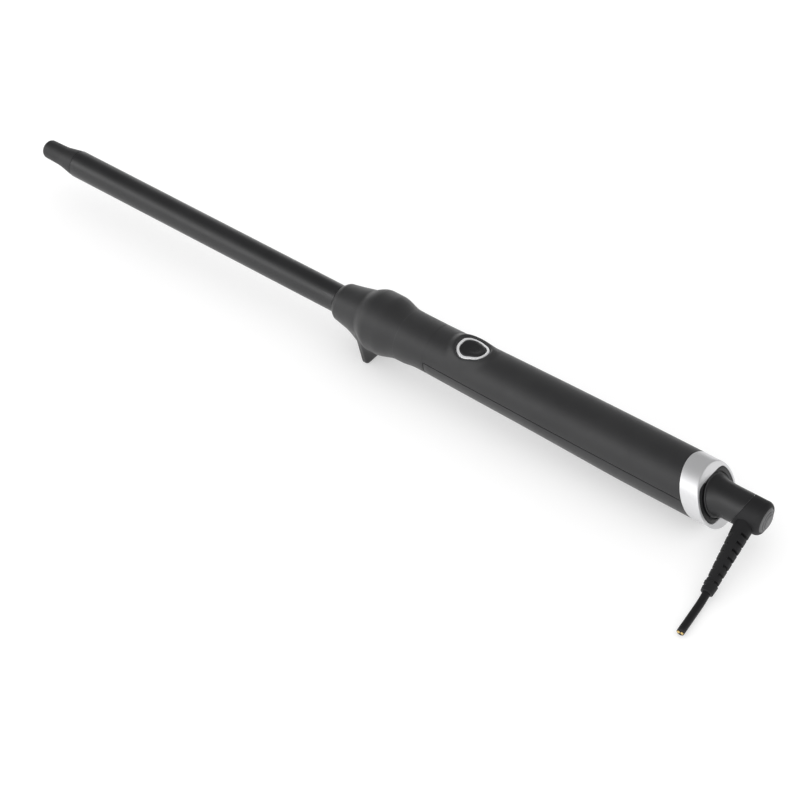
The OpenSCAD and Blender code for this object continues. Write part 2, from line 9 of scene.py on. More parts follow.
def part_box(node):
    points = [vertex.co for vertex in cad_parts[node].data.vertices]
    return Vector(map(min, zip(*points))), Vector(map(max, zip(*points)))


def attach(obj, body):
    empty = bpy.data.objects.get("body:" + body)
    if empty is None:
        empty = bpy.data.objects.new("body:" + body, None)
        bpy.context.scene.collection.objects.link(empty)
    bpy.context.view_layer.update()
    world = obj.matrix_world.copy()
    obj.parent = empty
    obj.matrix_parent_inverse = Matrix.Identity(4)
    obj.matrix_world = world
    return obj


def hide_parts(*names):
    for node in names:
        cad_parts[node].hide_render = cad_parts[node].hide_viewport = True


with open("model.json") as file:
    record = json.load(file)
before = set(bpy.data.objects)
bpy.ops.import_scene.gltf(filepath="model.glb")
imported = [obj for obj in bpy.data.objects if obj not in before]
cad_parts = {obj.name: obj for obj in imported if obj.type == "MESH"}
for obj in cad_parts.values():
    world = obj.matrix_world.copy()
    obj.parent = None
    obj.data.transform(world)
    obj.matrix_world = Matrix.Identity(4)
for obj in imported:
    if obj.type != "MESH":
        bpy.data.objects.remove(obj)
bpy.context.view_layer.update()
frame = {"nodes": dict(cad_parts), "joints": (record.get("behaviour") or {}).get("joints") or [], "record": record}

MM = 0.001


def node_box(name):
    """Lowest and highest corner of a CAD node in millimetres."""
    low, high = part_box(name)
    return low / MM, high / MM


def lerp(a, b, t):
    return a + (b - a) * t


def smooth(t):
    t = max(0.0, min(1.0, t))
    return t * t * (3 - 2 * t)


# ---------------------------------------------------------------- sizes taken from the frame

# the turning joint's axis points into the handle, and the swivel's axis used here points out of it
CORD_TURN = {joint["name"]: joint for joint in frame["joints"]}["cord_turn"]
SWIVEL_AXIS = -Vector(CORD_TURN["axis"]).normalized()
END_X = CORD_TURN["pos_m"][0] / MM
SLANT = math.atan2(SWIVEL_AXIS.z, SWIVEL_AXIS.x)

barrel_lo, barrel_hi = node_box("barrel_tube")
nose_lo, nose_hi = node_box("nose_housing")
bezel_lo, bezel_hi = node_box("button_bezel")
screw_lo, screw_hi = node_box("shell_screws")
cap_lo, cap_hi = node_box("swivel_cap")

TIP_X = node_box("cool_tip")[0].x
BUTTON_FOOT = node_box("power_button")[0].z
LOWER_FRONT = node_box("handle_base")[0].x
BARREL_R = barrel_hi.z
RING_R = node_box("end_ring")[1].y
BUTTON_X = (bezel_lo.x + bezel_hi.x) / 2
NECK_X = node_box("handle_body")[0].x
NOSE_END = NECK_X - 0.1

# the handle widens from its waist to the ring, and a little towards the nose
WAIST_X, WAIST_R = 58.0, 12.95
FLARE_END = 208.0
NECK_LEN, NECK_RISE = 6.0, 0.1
RING_DEPTH = 8.6
SEAM_Z, SEAM_GAP = 1.5, 0.25

# underside of the handle: a little flatter than round between the neck and the ring
UNDER_RISE = 1.1
UNDER_SHARE = 0.64
UNDER_DEPTH, UNDER_FLUSH = 0.75, -0.5
UNDER_FULL, UNDER_BACK, UNDER_END = 53.0, 105.0, 212.0
# above directions with this sine the section is round, and the two shapes meet with this much blend
UNDER_TOP = 0.3
UNDER_BLEND = 0.15


def handle_r(x):
    """Radius of the handle at x."""
    t = (FLARE_END - min(FLARE_END, max(x, WAIST_X))) / (FLARE_END - WAIST_X)
    front = max(0.0, 1 - (x - NOSE_END) / NECK_LEN)
    return RING_R - (RING_R - WAIST_R) * t * t + NECK_RISE * front * front


def under_inset(x):
    """How far the underside lies inside the round section, low on the side."""
    if x < UNDER_BACK:
        return lerp(UNDER_FLUSH, UNDER_DEPTH, smooth((x - NOSE_END) / (UNDER_FULL - NOSE_END)))
    return lerp(UNDER_DEPTH, UNDER_FLUSH, smooth((x - UNDER_BACK) / (UNDER_END - UNDER_BACK)))


def handle_reach(x, a):
    """Distance from the axis to the handle's surface at x, in direction a above the side."""
    r = handle_r(x)
    if math.sin(a) > UNDER_TOP:
        return r
    low = r + UNDER_SHARE * UNDER_RISE - under_inset(x)
    reach = UNDER_RISE * math.sin(a) + math.sqrt(low * low - (UNDER_RISE * math.cos(a)) ** 2)
    gap = r - reach
    if gap < -UNDER_BLEND:
        return r
    if gap < UNDER_BLEND:
        return r - (gap + UNDER_BLEND) ** 2 / (4 * UNDER_BLEND)
    return reach


def face_x(z, w):
    """x of the plane that lies w along the swivel axis from the ring's end face, at height z."""
    return END_X + w / math.cos(SLANT) - z * math.tan(SLANT)


# ---------------------------------------------------------------- mesh helpers

def circle(count):
    """Angles evenly spaced round a full turn."""
    return [2 * math.pi * i / count for i in range(count)]


def polar(p):
    """Direction of a point about the wand's axis, and its distance from the axis."""
    return math.atan2(p[2], p[1]), math.hypot(p[1], p[2])


def piece(name, points, faces, body, slot, stands_for=(), crease=32, weld=2e-6):
    """A mesh object from points in millimetres, welded, with outward normals."""
    mesh = bpy.data.meshes.new(name)
    mesh.from_pydata([(p[0] * MM, p[1] * MM, p[2] * MM) for p in points], [], faces)
    bm = bmesh.new()
    bm.from_mesh(mesh)
    bmesh.ops.remove_doubles(bm, verts=bm.verts, dist=weld)
    loose = [v for v in bm.verts if not v.link_faces]
    bmesh.ops.delete(bm, geom=loose, context="VERTS")
    bmesh.ops.recalc_face_normals(bm, faces=bm.faces)
    bm.to_mesh(mesh)
    bm.free()
    for poly in mesh.polygons:
        poly.use_smooth = True
    mesh.set_sharp_from_angle(angle=math.radians(crease))
    obj = bpy.data.objects.new(name, mesh)
    bpy.context.scene.collection.objects.link(obj)
    obj.data.materials.append(MATERIALS[slot])
    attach(obj, body)
    if stands_for:
        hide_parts(*stands_for)


def add_strip(points, faces, rows, closed=False, holes=()):
    """Adds rows of equal length and the quads between them.
    A hole is a range of rows and a range of columns that get no quads."""
    base = len(points)
    n = len(rows[0])
    for row in rows:
        points.extend(row)
    for j in range(len(rows) - 1):
        for i in range(n if closed else n - 1):
            if any(j0 <= j < j1 and i0 <= i < i1 for j0, j1, i0, i1 in holes):
                continue
            k = (i + 1) % n
            first, second = base + j * n, base + (j + 1) * n
            faces.append((first + i, first + k, second + k, second + i))


def skin(rows, ring=False):
    """Points and faces over closed rows of equal length. ring also joins the last row to the first."""
    points, faces = [], []
    add_strip(points, faces, rows, closed=True)
    if ring:
        n = len(rows[0])
        last = (len(rows) - 1) * n
        faces += [(last + i, last + (i + 1) % n, (i + 1) % n, i) for i in range(n)]
    return points, faces


def rounded(points, radii, steps=5, closed=False):
    """A polyline whose corners are rounded by the given radii."""
    out = []
    n = len(points)
    for i, (p, r) in enumerate(zip(points, radii)):
        p = Vector(p)
        if r <= 0 or (not closed and i in (0, n - 1)):
            out.append(tuple(p))
            continue
        before = Vector(points[(i - 1) % n]) - p
        after = Vector(points[(i + 1) % n]) - p
        half = before.angle(after) / 2
        if half > math.radians(89):
            out.append(tuple(p))
            continue
        back = min(r / math.tan(half), before.length * 0.49, after.length * 0.49)
        radius = back * math.tan(half)
        centre = p + (before.normalized() + after.normalized()).normalized() * (radius / math.sin(half))
        start = p + before.normalized() * back - centre
        end = p + after.normalized() * back - centre
        turn = math.pi - 2 * half
        for k in range(steps + 1):
            t = k / steps
            v = (start * math.sin((1 - t) * turn) + end * math.sin(t * turn)) / math.sin(turn)
            out.append(tuple(centre + v))
    return out


def lathe(profile, segments=128):
    """Rows of a body turned about X from (x, r) points."""
    return [[(x, r * math.cos(a), r * math.sin(a)) for a in circle(segments)] for x, r in profile]


def tube_rows(path, radius, segments):
    """Rows of a tube along a path. radius is a function of the distance along it."""
    rows = []
    s = 0.0
    for j, p in enumerate(path):
        if j:
            s += (p - path[j - 1]).length
        along = (path[min(j + 1, len(path) - 1)] - path[max(j - 1, 0)]).normalized()
        side = along.cross(Vector((1, 0, 0))).normalized()
        top = side.cross(along).normalized()
        rows.append([tuple(p + (side * math.cos(a) + top * math.sin(a)) * radius(s))
                     for a in circle(segments)])
    return rows


# ---------------------------------------------------------------- materials

def material(name):
    """A node material, with what is needed to wire it."""
    mat = bpy.data.materials.new(name)
    mat.use_nodes = True
    nodes, links = mat.node_tree.nodes, mat.node_tree.links
    shader = nodes["Principled BSDF"]
    coords = nodes.new("ShaderNodeTexCoord")
    return mat, nodes, links, shader, coords


def noise(nodes, links, vector, scale, detail=4.0, rough=0.55, stretch=None, distortion=0.0):
    """A noise value. stretch scales the coordinates on each axis first."""
    if stretch:
        mapping = nodes.new("ShaderNodeMapping")
        mapping.inputs["Scale"].default_value = stretch
        links.new(vector, mapping.inputs["Vector"])
        vector = mapping.outputs["Vector"]
    tex = nodes.new("ShaderNodeTexNoise")
    tex.inputs["Scale"].default_value = scale
    tex.inputs["Detail"].default_value = detail
    tex.inputs["Roughness"].default_value = rough
    tex.inputs["Distortion"].default_value = distortion
    links.new(vector, tex.inputs["Vector"])
    return tex.outputs["Fac"]


def ranged(nodes, links, value, low, high, from_low=0.3, from_high=0.7):
    """value mapped to low..high."""
    node = nodes.new("ShaderNodeMapRange")
    node.inputs["From Min"].default_value = from_low
    node.inputs["From Max"].default_value = from_high
    node.inputs["To Min"].default_value = low
    node.inputs["To Max"].default_value = high
    links.new(value, node.inputs["Value"])
    return node.outputs["Result"]


def mixed(nodes, links, factor, first, second):
    """A colour between two colours, each an RGB tuple or a socket."""
    node = nodes.new("ShaderNodeMix")
    node.data_type = "RGBA"
    links.new(factor, node.inputs["Factor"])
    for socket, value in ((node.inputs[6], first), (node.inputs[7], second)):
        if isinstance(value, tuple):
            socket.default_value = (*value, 1.0)
        else:
            links.new(value, socket)
    return node.outputs[2]


def math_node(nodes, links, operation, a, b):
    node = nodes.new("ShaderNodeMath")
    node.operation = operation
    for socket, value in ((node.inputs[0], a), (node.inputs[1], b)):
        if isinstance(value, (int, float)):
            socket.default_value = value
        else:
            links.new(value, socket)
    return node.outputs[0]


def bump(nodes, links, height, distance, strength=1.0, normal=None):
    """A bumped normal. It can build on another one."""
    node = nodes.new("ShaderNodeBump")
    node.inputs["Strength"].default_value = strength
    node.inputs["Distance"].default_value = distance
    links.new(height, node.inputs["Height"])
    if normal is not None:
        links.new(normal, node.inputs["Normal"])
    return node.outputs["Normal"]


def convex_edges(nodes, links):
    """1 on convex edges, 0 elsewhere."""
    geometry = nodes.new("ShaderNodeNewGeometry")
    return ranged(nodes, links, geometry.outputs["Pointiness"], 0.0, 1.0, 0.53, 0.62)


def plastic(name, dark, light, rough, grain=2600.0, grain_depth=0.00001, wear_and_highlight=(0.16, 0.16, 0.165),
            specular=0.5, sheen=0.0, streak=False, wear_and_highlight_amount=0.35):
    """Moulded plastic or rubber: mottled colour, fine grain, handling marks and polished edges. Convex edges take
    the edge colour: worn edges on most plastics, and on the swivel plastic a painted highlight along its rims and
    ridges.
    """
    mat, nodes, links, shader, coords = material(name)
    where = coords.outputs["Object"]
    broad = noise(nodes, links, where, 38.0, 3.0)
    fine = noise(nodes, links, where, grain, 2.0, 0.6)
    smudge = noise(nodes, links, where, 95.0, 5.0, 0.65, distortion=0.6)
    base = mixed(nodes, links, ranged(nodes, links, broad, 0.0, 1.0), dark, light)
    edges = convex_edges(nodes, links)
    # convex edges tinted towards the edge colour: wear on most plastics, a painted highlight on the swivel
    # plastic's ridges
    lighter_edges = math_node(nodes, links, "MULTIPLY", edges, ranged(nodes, links, smudge, 0.0, wear_and_highlight_amount))
    base = mixed(nodes, links, lighter_edges, base, wear_and_highlight)
    links.new(base, shader.inputs["Base Color"])
    level = ranged(nodes, links, smudge, rough - 0.05, rough + 0.06)
    if streak:
        lines = noise(nodes, links, where, 60.0, 4.0, 0.6, stretch=(0.25, 9.0, 9.0))
        level = math_node(nodes, links, "ADD", level, ranged(nodes, links, lines, -0.03, 0.04))
    level = math_node(nodes, links, "SUBTRACT", level, math_node(nodes, links, "MULTIPLY", edges, 0.08))
    links.new(level, shader.inputs["Roughness"])
    normal = bump(nodes, links, fine, grain_depth)
    normal = bump(nodes, links, noise(nodes, links, where, 320.0, 3.0), grain_depth * 1.6, 0.6, normal)
    links.new(normal, shader.inputs["Normal"])
    shader.inputs["Specular IOR Level"].default_value = specular
    shader.inputs["Sheen Weight"].default_value = sheen
    shader.inputs["Sheen Roughness"].default_value = 0.6
    return mat


def metal(name, tone, rough, brushed=(1.0, 1.0, 1.0), patina=(0.5, 0.5, 0.5), scratch=0.000004,
          spread=0.07, metallic=1.0):
    """Metal with brushing along an axis, fine scratches and a slight patina."""
    mat, nodes, links, shader, coords = material(name)
    where = coords.outputs["Object"]
    cloud = noise(nodes, links, where, 70.0, 4.0)
    base = mixed(nodes, links, ranged(nodes, links, cloud, 0.0, 0.25), tone, patina)
    links.new(base, shader.inputs["Base Color"])
    hair = noise(nodes, links, where, 140.0, 6.0, 0.7, stretch=brushed)
    links.new(ranged(nodes, links, hair, rough - spread, rough + spread), shader.inputs["Roughness"])
    links.new(bump(nodes, links, hair, scratch, 0.7), shader.inputs["Normal"])
    shader.inputs["Metallic"].default_value = metallic
    return mat


def speckled(name, dark, light, rough, transmission=0.0):
    """Small parts such as ceramics, boards, films and wires."""
    mat, nodes, links, shader, coords = material(name)
    where = coords.outputs["Object"]
    grains = noise(nodes, links, where, 900.0, 5.0, 0.7)
    links.new(mixed(nodes, links, ranged(nodes, links, grains, 0.0, 1.0), dark, light),
              shader.inputs["Base Color"])
    links.new(ranged(nodes, links, grains, rough - 0.08, rough + 0.08), shader.inputs["Roughness"])
    links.new(bump(nodes, links, grains, 0.00002, 0.5), shader.inputs["Normal"])
    shader.inputs["Transmission Weight"].default_value = transmission
    return mat


MATERIALS = {
    "barrel_coat": plastic("barrel_coat", (0.015, 0.015, 0.016), (0.020, 0.020, 0.021), 0.34,
                           grain=5200.0, grain_depth=0.000004, streak=True, specular=0.55),
    "tip_plastic": plastic("tip_plastic", (0.016, 0.016, 0.017), (0.022, 0.022, 0.023), 0.52,
                           grain=3000.0, grain_depth=0.000012),
    "soft_touch": plastic("soft_touch", (0.017, 0.017, 0.018), (0.023, 0.023, 0.024), 0.45,
                          grain=3600.0, grain_depth=0.00001, sheen=0.08, specular=0.42),
    # its light edge colour is a painted highlight along the rims and ridges of the seat, elbow and hub
    "swivel_plastic": plastic("swivel_plastic", (0.012, 0.012, 0.013), (0.018, 0.018, 0.019), 0.40,
                              grain=2800.0, grain_depth=0.000008, wear_and_highlight=(0.42, 0.42, 0.43), wear_and_highlight_amount=0.9),
    "button_plastic": plastic("button_plastic", (0.012, 0.012, 0.013), (0.018, 0.018, 0.019), 0.30,
                              grain=4200.0, grain_depth=0.000005),
    "cap_rubber": plastic("cap_rubber", (0.10, 0.10, 0.102), (0.14, 0.14, 0.143), 0.5,
                          grain=2400.0, grain_depth=0.000014, wear_and_highlight=(0.22, 0.22, 0.22)),
    "cord_rubber": plastic("cord_rubber", (0.010, 0.010, 0.011), (0.015, 0.015, 0.016), 0.58,
                           grain=2400.0, grain_depth=0.000014, specular=0.3),
    "ring_metal": metal("ring_metal", (0.72, 0.72, 0.73), 0.36, brushed=(1.0, 0.15, 0.15),
                        patina=(0.66, 0.66, 0.67), scratch=0.0000012, spread=0.03, metallic=0.6),
    "bezel_chrome": metal("bezel_chrome", (0.90, 0.90, 0.91), 0.24, patina=(0.80, 0.80, 0.81), spread=0.04,
                          metallic=0.35),
    "spreader_metal": metal("spreader_metal", (0.72, 0.73, 0.74), 0.35, brushed=(0.2, 4.0, 4.0)),
    "steel": metal("steel", (0.60, 0.61, 0.63), 0.32),
    "brass": metal("brass", (0.78, 0.58, 0.24), 0.28, patina=(0.55, 0.38, 0.16)),
    "ceramic": speckled("ceramic", (0.74, 0.73, 0.69), (0.84, 0.83, 0.79), 0.5),
    "film": speckled("film", (0.50, 0.24, 0.04), (0.62, 0.33, 0.07), 0.3),
    "board": speckled("board", (0.02, 0.14, 0.07), (0.03, 0.19, 0.10), 0.4),
    "chip_plastic": speckled("chip_plastic", (0.018, 0.018, 0.019), (0.030, 0.030, 0.031), 0.5),
    "capacitor_plastic": speckled("capacitor_plastic", (0.52, 0.40, 0.07), (0.62, 0.50, 0.11), 0.45),
    "lamp_plastic": speckled("lamp_plastic", (0.78, 0.78, 0.80), (0.88, 0.88, 0.90), 0.3,
                             transmission=0.4),
    "red_wire": speckled("red_wire", (0.42, 0.04, 0.03), (0.52, 0.06, 0.05), 0.45),
    "blue_wire": speckled("blue_wire", (0.03, 0.07, 0.30), (0.05, 0.10, 0.38), 0.45),
}
# the CAD nodes get the finish that the record names
for part in frame["record"]["subparts"]:
    node = frame["nodes"][part["node"]]
    node.data.materials.clear()
    node.data.materials.append(MATERIALS[part["material_slot"]])
    for poly in node.data.polygons:
        poly.use_smooth = True
    node.data.set_sharp_from_angle(angle=math.radians(30))


# ---------------------------------------------------------------- barrel and cool tip

BARREL_BORE = BARREL_R - 0.8
ROOT_R = BARREL_R - 0.25
ROOT_X = -0.5
TIP_R = 4.9
DOME_LEN = 3.2
DOME_STEPS = 14


def barrel_rows():
    """Tube with a slightly smaller root inside the nose, cut into lengths of about 6 mm."""
    outline = rounded(
        [(barrel_lo.x, BARREL_BORE), (barrel_lo.x, BARREL_R), (ROOT_X, BARREL_R), (ROOT_X, ROOT_R),
         (barrel_hi.x, ROOT_R), (barrel_hi.x, BARREL_BORE)],
        [0.1, 0.3, 0.0, 0.0, 0.1, 0.0], closed=True)
    profile = []
    for (x0, r0), (x1, r1) in zip(outline, outline[1:] + outline[:1]):
        count = max(1, int(abs(x1 - x0) / 6))
        profile += [(lerp(x0, x1, k / count), lerp(r0, r1, k / count)) for k in range(count)]
    return lathe(profile)


def tip_rows():
    """Cool tip: a dome, a long cone, and a plug that fills the barrel's end."""
    quarter = [math.radians(90 * k / DOME_STEPS) for k in range(DOME_STEPS)]
    dome = [(TIP_X + DOME_LEN * (1 - math.cos(a)), TIP_R * math.sin(a)) for a in quarter]
    back = barrel_lo.x - 0.12
    plug_r, plug_end = BARREL_BORE - 0.04, barrel_lo.x + 8
    hollow_r, hollow_x = 3.4, TIP_X + 7
    return lathe(dome + rounded(
        [(TIP_X + DOME_LEN, TIP_R), (-183.0, TIP_R + 0.2), (-180.4, TIP_R + 0.4), (-173.2, 6.62),
         (back, 6.86), (back, plug_r), (plug_end, plug_r), (plug_end, hollow_r),
         (hollow_x, hollow_r), (hollow_x, 0)],
        [0.0, 6.0, 6.0, 2.0, 0.35, 0.0, 0.3, 0.2, 0.3, 0.0]))


piece("barrel", *skin(barrel_rows(), ring=True), "handle", "barrel_coat", ["barrel_tube"])
piece("tip", *skin(tip_rows()), "handle", "tip_plastic", ["cool_tip"], weld=1e-5)


# ---------------------------------------------------------------- nose and stand

FOOT_HALF = 10.9
FOOT_DROP = -nose_lo.z
NOSE_FRONT_R, NOSE_EDGE_LEN, NOSE_EDGE_R, NOSE_SLOPE = 7.6, 3.4, 9.7, 0.19
BULGE_FRONT, BULGE_TOP, BULGE_REAR = 17.0, 24.5, 29.8
BULGE_R = nose_hi.z
NECK_R = WAIST_R + NECK_RISE
GUSSET_FRONT, GUSSET_REAR, GUSSET_SHARE = 3.0, 14.0, 0.5
BLADE_FRONT, FOOT_FRONT, FOOT_REAR = 15.4, 17.5, 19.3
BLADE_FADE, FADE_START, BLADE_END = 4.4, 26.0, 34.0
LEAN_MAX = 0.22
LEAN_FRONT, LEAN_GROW, LEAN_FALL = 7.5, 9.0, 10.0
LEAN_SOFT = 12.0
# the section's corners are softened by averaging over these turns, in degrees, with these weights
SOFTEN = ((-2.4, 0.1), (-1.2, 0.2), (0.0, 0.4), (1.2, 0.2), (2.4, 0.1))
SPIGOT_X, SPIGOT_R = 50.0, 10.7
NOSE_BORE, NOSE_POCKET_R = 9.2, 8.3
NOSE_SHOULDER, NOSE_FLOOR, NOSE_HOLE = 22.0, 2.0, 7.15


def nose_r(x):
    """Radius of the nose: a rounded front edge, a cone, the bulge, then the fall to the neck."""
    if x < NOSE_EDGE_LEN:
        return lerp(NOSE_FRONT_R, NOSE_EDGE_R, math.sin(math.pi / 2 * x / NOSE_EDGE_LEN))
    if x < BULGE_TOP:
        cone_r = NOSE_EDGE_R + NOSE_SLOPE * (x - NOSE_EDGE_LEN)
        return lerp(cone_r, BULGE_R, smooth((x - BULGE_FRONT) / (BULGE_TOP - BULGE_FRONT)))
    return lerp(BULGE_R, NECK_R, smooth((x - BULGE_REAR) / (NOSE_END - BULGE_REAR)))


def stand_share(x):
    """Share of the stand in the nose's section: gusset, blade, flat foot, then a long fade."""
    if x < FOOT_FRONT:
        gusset = smooth((x - GUSSET_FRONT) / (GUSSET_REAR - GUSSET_FRONT))
        blade = smooth((x - BLADE_FRONT) / (FOOT_FRONT - BLADE_FRONT))
        return GUSSET_SHARE * gusset + (1 - GUSSET_SHARE) * blade
    if x < FOOT_REAR:
        return 1.0
    return smooth((BLADE_END - x) / (BLADE_END - FADE_START)) / (1 + ((x - FOOT_REAR) / BLADE_FADE) ** 2)


def stand_lean(x):
    """Forward lean of the nose's section, which swings the foot back under the bulge."""
    return LEAN_MAX * (smooth((x - LEAN_FRONT) / LEAN_GROW) - smooth((x - FOOT_REAR) / LEAN_FALL))


def foot_reach(r, half, drop, a):
    """Radius of the outline round a circle and a flat foot, in direction a, in degrees below the axis."""
    corner = math.degrees(math.atan2(-drop, half))
    tangent = corner + math.degrees(math.acos(min(1.0, r / math.hypot(half, drop))))
    mirrored = -180 - a if abs(a) > 90 else a
    if mirrored >= tangent:
        return r
    if mirrored >= corner:
        return r / math.cos(math.radians(mirrored - tangent))
    return drop / math.sin(math.radians(-mirrored))


def nose_row(x, count=180):
    """Section of the nose at x: round above, drawn down to the foot below, and leaning forward."""
    r, share, lean = nose_r(x), stand_share(x), stand_lean(x)
    half, drop = FOOT_HALF * share, lerp(r, FOOT_DROP, share)
    row = []
    for i in range(count):
        a = i * 360 / count
        a = a - 360 if a > 180 else a
        reach = r
        if a < 0 and share > 0.001:
            reach = sum(weight * foot_reach(r, half, drop, max(-179.9, min(-0.1, a + turn)))
                        for turn, weight in SOFTEN)
        z = max(-FOOT_DROP, reach * math.sin(math.radians(a)))
        lean_z = z / (1 + z / LEAN_SOFT) if z > 0 else z
        row.append((x - lean * lean_z, reach * math.cos(math.radians(a)), z))
    return row


def nose_rows():
    """The whole nose: front edge, outside, the spigot inside the neck, and the inside."""
    def span(x0, x1, count):
        return [lerp(x0, x1, k / count) for k in range(count)]

    stations = span(0, NOSE_EDGE_LEN, 8) + span(NOSE_EDGE_LEN, BLADE_FRONT, 24)
    stations += span(BLADE_FRONT, BULGE_TOP, 46) + span(BULGE_TOP, NOSE_END, 36) + [NOSE_END]
    back = NOSE_END + 0.08
    front_lip = lathe([(0.9, NOSE_HOLE), (0.12, 7.2), (0.0, 7.35)], 180)
    spigot = lathe([
        (back, NECK_R - 0.01), (back, SPIGOT_R + 0.02), (SPIGOT_X - 0.2, SPIGOT_R),
        (SPIGOT_X, SPIGOT_R - 0.2), (SPIGOT_X, NOSE_BORE + 0.1), (NOSE_SHOULDER + 0.05, NOSE_BORE),
        (NOSE_SHOULDER, NOSE_POCKET_R), (NOSE_FLOOR, NOSE_POCKET_R), (NOSE_FLOOR, NOSE_HOLE)], 180)
    return front_lip + [nose_row(x) for x in stations] + spigot


piece("nose", *skin(nose_rows(), ring=True), "handle", "soft_touch", ["nose_housing"], crease=70)


# ---------------------------------------------------------------- button outline

BEZEL_TOP = handle_r(BUTTON_X)
BEZEL_W = 1.4
PAD_RISE = 0.98
PAD_FOOT = 0.12
PAD_TOP = 1.3
PAD_FALL = 3.4


def egg_circles(grow):
    """Three circles, as x, y and radius, whose hull is the button's outline, grown by grow."""
    return ((-1.75, 1.3, 6 + grow), (-1.75, -1.3, 6 + grow), (1.75, 0, 6 + grow))


def egg(grow, phi):
    """Distance from the button's centre to its outline, grown by grow, in direction phi."""
    circles = egg_circles(grow)
    dx, dy = math.cos(phi), math.sin(phi)
    best = 0.0
    for cx, cy, r in circles:
        along = cx * dx + cy * dy
        off = cx * cx + cy * cy - along * along
        if off < r * r:
            best = max(best, along + math.sqrt(r * r - off))
    for (ax, ay, r), (bx, by, _) in zip(circles, circles[1:] + circles[:1]):
        ex, ey = bx - ax, by - ay
        length = math.hypot(ex, ey)
        nx, ny = ey / length, -ex / length
        # the side's normal points away from the middle of the three circles
        if nx * ax + ny * ay < nx * -0.6:
            nx, ny = -nx, -ny
        facing = nx * dx + ny * dy
        if facing > 1e-6:
            t = (nx * ax + ny * ay + r) / facing
            along = ((t * dx - ax) * ex + (t * dy - ay) * ey) / length
            if 0 <= along <= length:
                best = max(best, t)
    return best


def egg_point(grow, phi, r):
    """Point over the grown outline in direction phi, at distance r from the wand's axis."""
    reach = egg(grow, phi)
    y = reach * math.sin(phi)
    return (BUTTON_X + reach * math.cos(phi), y, math.sqrt(r * r - y * y))


def egg_row(grow, r, count=144):
    return [egg_point(grow, phi, r) for phi in circle(count)]


def pad_height(d):
    """Rise of the handle's surface at distance d outside the bezel."""
    if d < PAD_TOP:
        return lerp(PAD_FOOT, PAD_RISE, math.sin(math.pi / 2 * max(0.0, d - 0.3)))
    return PAD_RISE * (1 - smooth((d - PAD_TOP) / PAD_FALL))


# ---------------------------------------------------------------- handle shells

WALL = 2.0
EDGE = 0.3
TAIL_X = 190.0
RING_GAP = 0.12
# points of a shell's section that make its inner lip and rolled edge, on each side
LIP = 5
SCREW_X = (screw_lo.x + 2.6, 148.0, screw_hi.x - 2.6)
SCREW_SEAT = -8.0
SCREW_HOLE = 2.9


def on_handle(x, a, drop=0.0):
    """Point on the handle's surface, or drop below it."""
    r = handle_reach(x, a) - drop
    return (x, r * math.cos(a), r * math.sin(a))


def shell_end(a):
    """x where the handle meets the ring, in direction a."""
    x = face_x(0, -RING_DEPTH)
    for _ in range(6):
        x = face_x(handle_r(x) * math.sin(a), -RING_DEPTH)
    return x


def shell_row(x, z_edge, side, count):
    """Section of a shell at x: inner lip, rolled edge, skin from seam to seam, and back.
    side is 1 for the upper shell, which runs over the top, and -1 for the lower one."""
    r = handle_r(x)
    seam = math.asin(z_edge / r)
    roll = side * EDGE / r
    edge = [(x, math.sqrt((r - WALL) ** 2 - z_edge ** 2), z_edge)]
    for k in (math.radians(22.5 * step) for step in range(LIP - 1)):
        reach = r - EDGE + EDGE * math.sin(k)
        a = seam + roll * (1 - math.cos(k))
        edge.append((x, reach * math.cos(a), reach * math.sin(a)))
    near, far = seam + roll, side * math.pi - seam - roll
    row = edge + [on_handle(x, lerp(near, far, i / count)) for i in range(count + 1)]
    return row + [(p[0], -p[1], p[2]) for p in reversed(edge)]


def run_to_ring(rows, steps):
    """Adds the rows from TAIL_X on to the slanted ring, and turns the end in."""
    last = rows[-1]
    for k in range(1, steps + 1):
        row = []
        for p in last:
            a, r = polar(p)
            x = lerp(TAIL_X, shell_end(a) - RING_GAP, k / steps)
            reach = handle_reach(x, a) - (handle_reach(TAIL_X, a) - r)
            row.append((x, reach * math.cos(a), reach * math.sin(a)))
        rows.append(row)
    final = rows[-1]
    for back, drop in ((0.03, 0.06), (RING_GAP, 0.25), (RING_GAP, WALL - 0.2)):
        row = []
        for p in final:
            a, r = polar(p)
            row.append((p[0] + back, (r - drop) * math.cos(a), (r - drop) * math.sin(a)))
        rows.append(row)


def neck_rows(front):
    """The full turn ahead of the lower shell, from the nose to x = front."""
    def neck_row(x, drop=0.0):
        return [on_handle(x, 2 * math.pi * i / 144, drop) for i in range(145)]

    steps = (0, 0.4, 0.8, 1.2, 1.7, 2.3, 3, 3.8, 4.6, 5.6, 7, 8.5, 10, 12, 14, 16)
    stations = [NECK_X + step for step in steps if NECK_X + step < front - 0.4]
    rows = [neck_row(NECK_X, WALL)] + [neck_row(x) for x in stations + [front - 0.3]]
    return rows + [neck_row(front - 0.1, 0.08), neck_row(front, 0.3), neck_row(front, WALL)]


def pad_rings(loop):
    """Rings from the button's well, up over the raised pad and out to the loop of points around it."""
    angles = []
    for p in loop:
        angles.append(math.atan2((math.pi / 2 - polar(p)[0]) * BEZEL_TOP, p[0] - BUTTON_X))
    rings = []
    for rise, grow in ((-1.75, 0.3), (-0.25, 0.3), (-0.02, 0.32), (0.14, 0.38)):
        rings.append([egg_point(grow, phi, BEZEL_TOP + rise) for phi in angles])
    for d in (0.5, 0.65, 0.85, 1.1, 1.4, 1.8, 2.3, 2.9, 3.5, 4.1, 4.7):
        row = []
        for phi in angles:
            x = BUTTON_X + egg(d, phi) * math.cos(phi)
            ground = lerp(BEZEL_TOP, handle_r(x), smooth((d - 1.0) / 3.7))
            row.append(egg_point(d, phi, ground + pad_height(d)))
        rings.append(row)
    pad_edge = rings[-1]
    steps = 6
    for k in range(1, steps + 1):
        t = k / steps
        rings.append([on_handle(lerp(p[0], q[0], t), lerp(polar(p)[0], polar(q)[0], t))
                      for p, q in zip(pad_edge, loop)])
    return rings


